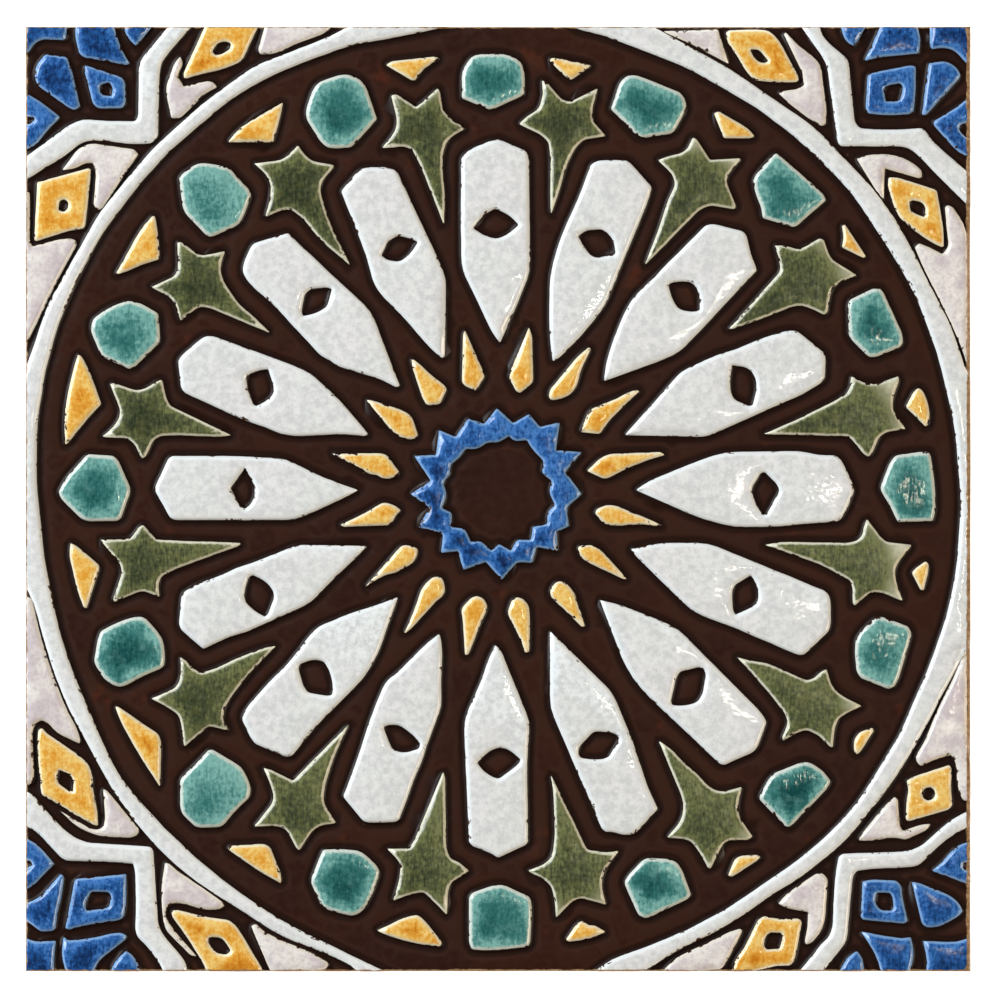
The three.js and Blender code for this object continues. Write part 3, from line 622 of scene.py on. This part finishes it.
def downward(triangle, outline):
    a, b, c = (outline[v] for v in triangle)
    return triangle if (b - a).cross(c - a).z < 0 else triangle[::-1]


def side_share(x, y, level):
    """How far out a side lies at a level, as a share of how far out the glazed face does."""
    if level == 0:
        return 1 - ARRIS / HALF
    wave = noise.noise(Vector((x, y, level)) / SIDE_WOBBLE_LENGTH)
    return 1 - abs(SIDE_WOBBLE * wave) / HALF


def add_sides_and_back(corners, faces, ring):
    """Closes the tile below the glazed face, from the ring of points round it."""
    above = ring
    for level in (*SIDE_ROWS, 0.0):
        below = []
        for v in ring:
            x, y = corners[v][:2]
            share = side_share(x, y, level)
            below.append(len(corners))
            corners.append((x * share, y * share, level))
        faces.extend(side_faces(above, below))
        above = below
    outline = [Vector(corners[v]) for v in above]
    back = tessellate_polygon([outline])
    faces.extend([above[v] for v in downward(triangle, outline)] for triangle in back)


def tile_piece(relief):
    places, faces, glaze = flat_face(relief)
    distances = outline_distances(relief, places, faces, glaze)
    corners = []
    for (x, y), distance in zip(places, distances):
        z = height(x, y, distance) - arc_drop(HALF - max(abs(x), abs(y)), ARRIS)
        corners.append((*settled(x, y), z))
    add_sides_and_back(corners, faces, border_order(places))
    glaze.extend([CLAY] * (len(faces) - len(glaze)))

    mesh = bpy.data.meshes.new("glazed_tile")
    mesh.from_pydata(corners, [], faces)
    attributes = {
        "depth": [distance / MM for distance in distances],
        "glazed": [glazed_reach(x, y) / MM for x, y, _ in corners],
        "thinness": [relief.thinness_at(x, y) for x, y in places],
    }
    for name, values in attributes.items():
        values = values + [0.0] * (len(corners) - len(values))
        attribute = mesh.attributes.new(name, "FLOAT", "POINT")
        attribute.data.foreach_set("value", np.array(values, np.float32))
    mesh.polygons.foreach_set("material_index", np.array(glaze, np.int32))
    mesh.polygons.foreach_set("use_smooth", np.ones(len(faces), bool))
    mesh.validate()
    mesh.update()
    piece = bpy.data.objects.new("glazed_tile", mesh)
    bpy.context.scene.collection.objects.link(piece)
    return piece


# Materials.

# Most values of a noise lie between these two.
NOISE_RANGE = (0.3, 0.7)

# How wide the grain in the glazes is: brush strokes, which are longer than wide by the stretch, flecks,
# spots of another tint, and wide and fine ripples. The coloured glazes' fine ripples are all this deep.
BRUSH, BRUSH_STRETCH = 0.42 * MM, 4.5
FLECK = 0.9 * MM
SPOT = 3.0 * MM
WIDE_RIPPLE, FINE_RIPPLE = 2.2 * MM, 0.9 * MM
FINE_RIPPLE_DEPTH = 0.012 * MM

# How thick a glaze lies where it isn't thin at all, and how much thinness takes from that. Between these
# thicknesses the thin colour turns into the laid one, and the laid one into the pooled one. Between these
# thinnesses the rim's colour washes over all, and this far.
MOST_THICK, THINNESS_TAKES = 1.1, 0.85
THIN_TO_LAID = (-0.2, 0.55)
LAID_TO_POOLED = (0.35, 1.2)
WASHED = (1.1, 2.7)
MOST_WASHED = 0.85

# How much flecks fray the washed part, by thinness, and the rim, as a share of its width. Then how much wide
# patches fray the pool's edge, as a share of the depth over which it fills.
WASH_FRAY, RIM_FRAY = 0.8, 1.2
POOL_FRAY = 1.4

# Bites in a pad's glaze: how wide they are, how wide the places where they gather are and how much these
# count, how fast they get fewer for each millimetre inwards, and over which values of the noise one starts.
BITE, BITE_PLACE = 1.2 * MM, 9.0 * MM
BITE_GATHER = 0.5
BITE_INWARD = 0.32
BITE_START = (0.57, 0.595)

# The glaze's end along the tile's edges: how wide and how far in millimetres it strays, and how soft it is.
# Then how wide the grit of the bare clay beyond it is.
END_GRAIN, END_STRAY = 2.2 * MM, 0.9
END_FADE = (-0.02, 0.1)
GRIT = 0.8 * MM


def paint(red, green, blue):
    """A colour as it shows on a screen, as the linear colour that a shader takes."""
    return [c / 12.92 if c < 0.04 else ((c + 0.055) / 1.055) ** 2.4 for c in (red, green, blue)] + [1.0]


class Shader:
    """A material's node tree, built by short calls. Sizes of noise are the width of its grains."""

    # How a noise's seed moves it along X, Y and Z.
    SEED_SHIFT = (1, 0.7, 0.3)

    def __init__(self, name):
        self.material = bpy.data.materials.new(name)
        self.material.use_nodes = True
        self.tree = self.material.node_tree
        self.surface = self.tree.nodes["Principled BSDF"]
        self.place = self.tree.nodes.new("ShaderNodeTexCoord").outputs["Object"]

    def link(self, source, target):
        self.tree.links.new(source, target)

    def noise(self, size, detail=2.0, seed=0.0, rough=0.5, stretch=1.0):
        """Noise with grains about as wide as the size, and stretched along the tile's Y."""
        shift = self.tree.nodes.new("ShaderNodeVectorMath")
        shift.operation = "MULTIPLY_ADD"
        shift.inputs[1].default_value = (1, 1 / stretch, 1)
        shift.inputs[2].default_value = [seed * share for share in self.SEED_SHIFT]
        self.link(self.place, shift.inputs[0])
        node = self.tree.nodes.new("ShaderNodeTexNoise")
        node.inputs["Scale"].default_value = 1 / size
        node.inputs["Detail"].default_value = detail
        node.inputs["Roughness"].default_value = rough
        self.link(shift.outputs[0], node.inputs["Vector"])
        return node.outputs["Fac"]

    def attribute(self, name):
        node = self.tree.nodes.new("ShaderNodeAttribute")
        node.attribute_name = name
        return node.outputs["Fac"]

    def ramp(self, value, low, high, start=0.0, end=1.0):
        """start where the value is at low or under, end where it is at high or over, smooth between."""
        node = self.tree.nodes.new("ShaderNodeMapRange")
        node.interpolation_type = "SMOOTHSTEP"
        node.inputs["From Min"].default_value = low
        node.inputs["From Max"].default_value = high
        node.inputs["To Min"].default_value = start
        node.inputs["To Max"].default_value = end
        self.link(value, node.inputs["Value"])
        return node.outputs["Result"]

    def calc(self, operation, a, b, c=None):
        node = self.tree.nodes.new("ShaderNodeMath")
        node.operation = operation
        for socket, value in zip(node.inputs, (a, b, c)):
            if value is None:
                continue
            if isinstance(value, (int, float)):
                socket.default_value = value
            else:
                self.link(value, socket)
        return node.outputs[0]

    def strayed(self, value, by, amount):
        """The value with a noise added that is centred on nought and as strong as the amount."""
        return self.calc("MULTIPLY_ADD", self.calc("SUBTRACT", by, 0.5), amount, value)

    def mix(self, share, first, second):
        node = self.tree.nodes.new("ShaderNodeMix")
        node.data_type = "RGBA"
        self.link(share, node.inputs["Factor"])
        for socket, value in ((node.inputs["A"], first), (node.inputs["B"], second)):
            if isinstance(value, (list, tuple)):
                socket.default_value = value
            else:
                self.link(value, socket)
        return node.outputs["Result"]

    def bump(self, value, size, before=None):
        node = self.tree.nodes.new("ShaderNodeBump")
        node.inputs["Distance"].default_value = size
        self.link(value, node.inputs["Height"])
        if before is not None:
            self.link(before, node.inputs["Normal"])
        return node.outputs["Normal"]

    def colour(self, value):
        self.link(value, self.surface.inputs["Base Color"])

    def rough(self, value):
        self.link(value, self.surface.inputs["Roughness"])

    def normal(self, value):
        self.link(value, self.surface.inputs["Normal"])


def with_bare_edge(s, colour):
    """The glaze gives way to bare clay in a ragged line along the tile's edges."""
    frayed = s.noise(END_GRAIN, 3.0, seed=0.15, rough=0.6)
    ragged = s.strayed(s.attribute("glazed"), frayed, END_STRAY)
    grit = s.noise(GRIT, 3.0, seed=0.25)
    clay = s.mix(s.ramp(grit, *NOISE_RANGE), paint(0.5, 0.37, 0.24), paint(0.68, 0.55, 0.4))
    return s.mix(s.ramp(ragged, *END_FADE, 1.0, 0.0), colour, clay)


def with_bites(s, colour, brown):
    """Small bites out of the glaze along a pad's edge, more of them in some places than in others."""
    gaps = s.noise(BITE, 3.0, seed=0.65, rough=0.6)
    bite = s.strayed(gaps, s.noise(BITE_PLACE, 1.0, seed=0.85), BITE_GATHER)
    bite = s.calc("SUBTRACT", bite, s.calc("MULTIPLY", s.attribute("depth"), BITE_INWARD))
    return s.mix(s.ramp(bite, *BITE_START), colour, brown)


def glaze_material(name, pooled, laid, thin, rim, tint, pool, rim_width=0.55, streak=0.5, blotch=1.0,
                   patch=6.0, gloss=(0.06, 0.11), ripple=1.0, dimple=0.09):
    """A coloured glaze: pooled and dark where it lies thick, paler towards the rim and nearly clear on it;
    the pale rim is partly a painted highlight of the rounded edge.

    pooled, laid and thin are its colours from thick to thin, rim the colour on the pad's edge, and tint
    the colour of scattered spots. pool is the depth in from the outline, in millimetres, at which the glaze
    starts and ends to be full. rim_width and patch, the size of its wide patches, are in millimetres too.
    streak is how plainly the brush shows and blotch how plainly small blotches do. gloss is the least and
    the greatest roughness, ripple how much longer its ripples are along Y, and dimple how deep they are in
    millimetres.
    """
    s = Shader(name)
    depth = s.attribute("depth")
    cloud = s.noise(patch * MM, 3.0, seed=0.1, rough=0.55)
    brushed = s.noise(BRUSH, 2.0, seed=0.3, rough=0.6, stretch=BRUSH_STRETCH)
    fleck = s.noise(FLECK, 4.0, seed=0.45, rough=0.7)
    start, full = pool
    filled = s.ramp(s.strayed(depth, cloud, POOL_FRAY * (full - start)), start, full)
    share = s.calc("MULTIPLY_ADD", s.attribute("thinness"), -THINNESS_TAKES, MOST_THICK)
    thick = s.calc("MULTIPLY", filled, share)
    thick = s.strayed(s.strayed(thick, brushed, streak), fleck, blotch)
    body = s.mix(s.ramp(thick, *THIN_TO_LAID), thin, laid)
    body = s.mix(s.ramp(thick, *LAID_TO_POOLED), body, pooled)
    spots = s.noise(SPOT, 3.0, seed=0.95, rough=0.6)
    body = s.mix(s.ramp(spots, 0.5, 0.75, 0.0, 0.5), body, tint)
    washed = s.strayed(s.attribute("thinness"), fleck, WASH_FRAY)
    body = s.mix(s.ramp(washed, *WASHED, 0.0, MOST_WASHED), body, rim)
    # Pale rim along the pad's edge: thin glaze, and partly a painted highlight of the rounded edge.
    ragged = s.strayed(depth, fleck, RIM_FRAY * rim_width)
    colour = s.mix(s.ramp(ragged, 0.4 * rim_width, 1.3 * rim_width, 1.0, 0.0), body, rim)
    s.colour(with_bare_edge(s, with_bites(s, colour, paint(0.2, 0.11, 0.07))))
    s.rough(s.ramp(cloud, *NOISE_RANGE, *gloss))
    ripples = s.noise(WIDE_RIPPLE / math.sqrt(ripple), 1.0, seed=0.5, stretch=ripple)
    fine = s.noise(FINE_RIPPLE, 0.0, seed=0.7)
    s.normal(s.bump(fine, FINE_RIPPLE_DEPTH, s.bump(ripples, dimple * MM)))
    return s.material


def turquoise_material():
    return glaze_material(
        "turquoise_glaze", pooled=paint(0.03, 0.25, 0.245), laid=paint(0.21, 0.44, 0.42),
        thin=paint(0.5, 0.7, 0.66), rim=paint(0.82, 0.84, 0.79), tint=paint(0.38, 0.57, 0.54),
        pool=(-0.2, 5.0), rim_width=0.75, streak=0.7, blotch=1.3, ripple=4.0)


def olive_material():
    return glaze_material(
        "olive_glaze", pooled=paint(0.15, 0.18, 0.1), laid=paint(0.285, 0.305, 0.19),
        thin=paint(0.44, 0.45, 0.28), rim=paint(0.86, 0.84, 0.74), tint=paint(0.36, 0.355, 0.18),
        pool=(-0.8, 3.6), rim_width=0.52, streak=1.7, blotch=2.3, patch=3.5, gloss=(0.2, 0.3))


def amber_material():
    return glaze_material(
        "amber_glaze", pooled=paint(0.76, 0.45, 0.08), laid=paint(0.87, 0.62, 0.22),
        thin=paint(0.92, 0.78, 0.46), rim=paint(0.94, 0.88, 0.74), tint=paint(0.86, 0.58, 0.18),
        pool=(0.1, 3.4), streak=0.9, blotch=2.0, patch=4.0, dimple=0.07)


def cobalt_material():
    return glaze_material(
        "cobalt_glaze", pooled=paint(0.035, 0.14, 0.3), laid=paint(0.11, 0.3, 0.54),
        thin=paint(0.27, 0.47, 0.72), rim=paint(0.5, 0.64, 0.8), tint=paint(0.15, 0.36, 0.6),
        pool=(-0.1, 2.8), rim_width=0.5, streak=1.4, blotch=2.6, patch=4.0, gloss=(0.13, 0.2), dimple=0.045)


def white_material():
    """The white glaze, faintly mottled with painted shade of small lumps, and whiter on some pads."""
    s = Shader("white_glaze")
    cloud = s.noise(14 * MM, 3.0, seed=0.1)
    painted_lump_shade = s.noise(1.3 * MM, 2.0, seed=0.5, rough=0.6)
    body = s.mix(s.ramp(cloud, 0.35, 0.65), paint(0.885, 0.885, 0.865), paint(0.895, 0.88, 0.87))
    body = s.mix(s.ramp(s.attribute("thinness"), 0.8, 1.0), body, paint(0.92, 0.93, 0.92))
    # Painted shade: grey mottling that stands in for the shading of small glaze lumps.
    body = s.mix(s.ramp(painted_lump_shade, 0.28, 0.72, 0.85, 0.0), body, paint(0.78, 0.78, 0.77))
    # Painted highlight: the white is made whiter along the pad's rounded edge.
    colour = s.mix(s.ramp(s.attribute("depth"), 0.3, 1.1, 1.0, 0.0), body, paint(0.91, 0.91, 0.895))
    s.colour(with_bare_edge(s, with_bites(s, colour, paint(0.3, 0.19, 0.12))))
    s.rough(s.ramp(cloud, *NOISE_RANGE, 0.04, 0.07))
    wide = s.bump(s.noise(2.6 * MM, 0.0, seed=0.5), 0.028 * MM)
    s.normal(s.bump(s.noise(0.85 * MM, 0.0, seed=0.7), 0.013 * MM, wide))
    return s.material


def lilac_material():
    """The thin pale glaze on the corner pieces, clouded with lilac and cream."""
    s = Shader("lilac_glaze")
    cloud = s.noise(5 * MM, 4.0, seed=0.1, rough=0.6)
    fleck = s.noise(FLECK, 4.0, seed=0.45, rough=0.7)
    body = s.mix(s.ramp(cloud, 0.36, 0.64), paint(0.8, 0.75, 0.75), paint(0.9, 0.87, 0.84))
    body = s.mix(s.ramp(fleck, 0.3, 0.6, 0.45, 0.0), body, paint(0.68, 0.62, 0.62))
    colour = s.mix(s.ramp(s.attribute("depth"), 0.15, 0.8, 1.0, 0.0), body, paint(0.88, 0.84, 0.78))
    s.colour(with_bare_edge(s, with_bites(s, colour, paint(0.25, 0.15, 0.1))))
    s.rough(s.ramp(cloud, *NOISE_RANGE, 0.08, 0.15))
    wide = s.bump(s.noise(2.2 * MM, 1.0, seed=0.5), 0.09 * MM)
    s.normal(s.bump(s.noise(0.8 * MM, 2.0, seed=0.7), 0.02 * MM, wide))
    return s.material


def ground_material():
    """The sunken satin ground, with painted shade that makes it nearly black in the moats beside the walls,
    browner on the plateaus, and a faint painted highlight along the shoulders.
    """
    s = Shader("ground_glaze")
    cloud = s.noise(26 * MM, 3.0, seed=0.2)
    fleck = s.noise(1.6 * MM, 3.0, seed=0.4)
    plateau = s.mix(s.ramp(cloud, 0.35, 0.65), paint(0.185, 0.088, 0.05), paint(0.165, 0.075, 0.055))
    red = s.ramp(s.noise(11 * MM, 3.0, seed=0.6, rough=0.7), 0.64, 0.74, 0.0, 0.6)
    plateau = s.mix(red, plateau, paint(0.31, 0.14, 0.08))
    plateau = s.mix(s.ramp(fleck, *NOISE_RANGE, 0.0, 0.25), plateau, paint(0.235, 0.14, 0.1))
    uneven = s.strayed(s.attribute("depth"), fleck, 0.8)
    # Painted shade: the moats beside the pads' walls are coloured nearly black.
    colour = s.mix(s.ramp(uneven, -2.4, -0.5), plateau, paint(0.12, 0.055, 0.03))
    # Painted highlight: a faint pale line along the shoulders, where the ground rises from the moats to the
    # plateau.
    line = s.calc("MULTIPLY", s.ramp(uneven, -2.5, -1.8), s.ramp(uneven, -1.7, -1.2, 0.12, 0.0))
    colour = s.mix(line, colour, paint(0.34, 0.22, 0.16))
    specks = s.ramp(s.noise(0.8 * MM, 1.0, seed=1.3), 0.8, 0.83, 0.0, 0.5)
    colour = s.mix(specks, colour, paint(0.42, 0.3, 0.22))
    s.colour(with_bare_edge(s, colour))
    s.rough(s.ramp(fleck, *NOISE_RANGE, 0.3, 0.42))
    s.surface.inputs["Specular IOR Level"].default_value = 0.15
    wide = s.bump(s.noise(4 * MM, 2.0, seed=0.9), 0.12 * MM)
    s.normal(s.bump(fleck, 0.04 * MM, wide))
    return s.material


def clay_material():
    """Bare fired clay on the sides and the back."""
    s = Shader("bare_clay")
    cloud = s.noise(9 * MM, 4.0, seed=0.3, rough=0.6)
    grit = s.noise(0.7 * MM, 4.0, seed=0.8, rough=0.7)
    colour = s.mix(s.ramp(cloud, *NOISE_RANGE), paint(0.58, 0.43, 0.3), paint(0.72, 0.58, 0.44))
    s.colour(s.mix(s.ramp(grit, 0.6, 0.75, 0.0, 0.6), colour, paint(0.42, 0.3, 0.2)))
    s.rough(s.ramp(grit, *NOISE_RANGE, 0.75, 0.95))
    pits = s.bump(s.noise(2.4 * MM, 3.0, seed=0.4, rough=0.6), 0.5 * MM)
    s.normal(s.bump(grit, 0.2 * MM, pits))
    return s.material


def tile_materials():
    """In the order of GLAZES, then the ground and the clay."""
    return [white_material(), turquoise_material(), olive_material(), amber_material(), cobalt_material(),
            lilac_material(), ground_material(), clay_material()]


# Stage, lights and camera. Lengths are in metres, and the sensor's width in millimetres.

FLOOR_HALF = 2.4
FLOOR_LEVEL = -0.05 * MM
FLOOR_GLOW = 0.85
WORLD_GLOW = 0.1
CAMERA_HEIGHT = 1.6
CAMERA_NEAR, CAMERA_FAR = 0.05, 20
SENSOR_WIDTH = 36


def stage():
    square = [(-FLOOR_HALF, -FLOOR_HALF), (FLOOR_HALF, -FLOOR_HALF), (FLOOR_HALF, FLOOR_HALF),
              (-FLOOR_HALF, FLOOR_HALF)]
    mesh = bpy.data.meshes.new("floor")
    mesh.from_pydata([(x, y, FLOOR_LEVEL) for x, y in square], [], [(0, 1, 2, 3)])
    floor = bpy.data.objects.new("floor", mesh)
    bpy.context.scene.collection.objects.link(floor)
    s = Shader("pale_floor")
    s.colour(s.mix(s.noise(40 * MM, 2.0), paint(0.985, 0.985, 0.98), paint(0.99, 0.99, 0.99)))
    s.surface.inputs["Roughness"].default_value = 0.9
    s.surface.inputs["Specular IOR Level"].default_value = 0.1
    s.surface.inputs["Emission Color"].default_value = (1, 1, 1, 1)
    s.surface.inputs["Emission Strength"].default_value = FLOOR_GLOW
    floor.data.materials.append(s.material)


def lamp(name, place, size, power, colour, target=(0, 0, 0)):
    light = bpy.data.lights.new(name, "AREA")
    light.shape = "RECTANGLE"
    light.size, light.size_y = size
    light.energy = power
    light.color = colour
    holder = bpy.data.objects.new(name, light)
    holder.location = place
    holder.rotation_euler = (Vector(target) - Vector(place)).to_track_quat("-Z", "Y").to_euler()
    bpy.context.scene.collection.objects.link(holder)


def lights():
    """A cool window at the left, a weaker warm one at the right, and a small lamp for the sparkles."""
    lamp("window_left", place=(-1.5, 0.75, 1.15), size=(1.3, 1.3), power=66, colour=(0.87, 0.935, 1.0))
    lamp("fill_right", place=(1.5, -0.5, 0.8), size=(0.8, 0.8), power=20, colour=(1.0, 0.86, 0.68))
    lamp("sparkle", place=(0.205, -0.012, 1.5), size=(0.018, 0.13), power=0.3, colour=(1.0, 0.9, 0.7),
         target=(0.1, -0.006, 0))
    world = bpy.data.worlds.new("studio")
    world.use_nodes = True
    background = world.node_tree.nodes["Background"]
    background.inputs["Color"].default_value = (0.93, 0.96, 1.0, 1.0)
    background.inputs["Strength"].default_value = WORLD_GLOW
    bpy.context.scene.world = world
    bpy.context.scene.view_settings.view_transform = "Standard"


def camera():
    """Straight above the tile, with the tile where the photograph has it."""
    data = bpy.data.cameras.new("camera")
    data.sensor_width = SENSOR_WIDTH
    data.lens = data.sensor_width * (CAMERA_HEIGHT - TOP) / (PHOTO_HEIGHT * PIXEL)
    data.clip_start, data.clip_end = CAMERA_NEAR, CAMERA_FAR
    holder = bpy.data.objects.new("camera", data)
    right = (PHOTO_WIDTH - TILE_LEFT - TILE_RIGHT) / 2 * PIXEL
    down = (PHOTO_HEIGHT - TILE_TOP - TILE_BOTTOM) / 2 * PIXEL
    holder.location = (right, -down, CAMERA_HEIGHT)
    bpy.context.scene.collection.objects.link(holder)
    bpy.context.scene.camera = holder


camera()
noise.seed_set(SEED)
tile = tile_piece(Relief(top_loops(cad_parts["tile"].data)))
for material in tile_materials():
    tile.data.materials.append(material)
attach(tile, "root")
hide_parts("tile")
stage()
lights()
